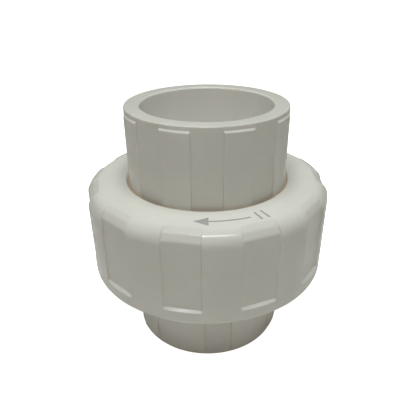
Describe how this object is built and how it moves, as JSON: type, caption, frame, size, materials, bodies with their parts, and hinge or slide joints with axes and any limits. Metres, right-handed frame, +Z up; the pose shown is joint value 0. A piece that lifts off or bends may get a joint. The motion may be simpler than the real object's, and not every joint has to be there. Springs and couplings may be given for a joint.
{
  "type": "pipe union fitting",
  "caption": "White plastic pipe union with a solvent-weld socket at each end, a large ribbed ring nut and a face-sealing O-ring.",
  "frame": {"origin": "centre of the lower rim, on the pipe axis, where the fitting stands", "axes": "+Z up the pipe axis towards the tail piece's socket; -Y is the side with the nut's printed mark"},
  "size_m": [0.0964, 0.0964, 0.098],
  "materials": {
    "body_plastic": "satin moulded white PVC",
    "tail_plastic": "satin moulded white PVC",
    "nut_plastic": "satin moulded white PVC",
    "seal_rubber": "matte black EPDM"
  },
  "bodies": {
    "threaded_half": {"union_body": "body_plastic", "o_ring": "seal_rubber"},
    "tail": {"tail_piece": "tail_plastic"},
    "nut": {"union_nut": "nut_plastic"}
  },
  "joints": [
    {"name": "tail_lift", "type": "slide", "parent": "threaded_half", "child": "tail", "axis": [0, 0, 1], "range_m": [0, 0.0225]},
    {"name": "nut_turn", "type": "hinge", "parent": "tail", "child": "nut", "pos_m": [0, 0, 0.0508], "axis": [0, 0, 1], "range_deg": [0, 1620]}
  ],
  "couplings": [
    {"joint": "tail_lift", "follows": "nut_turn", "m_per_rad": 0.00079577}
  ]
}
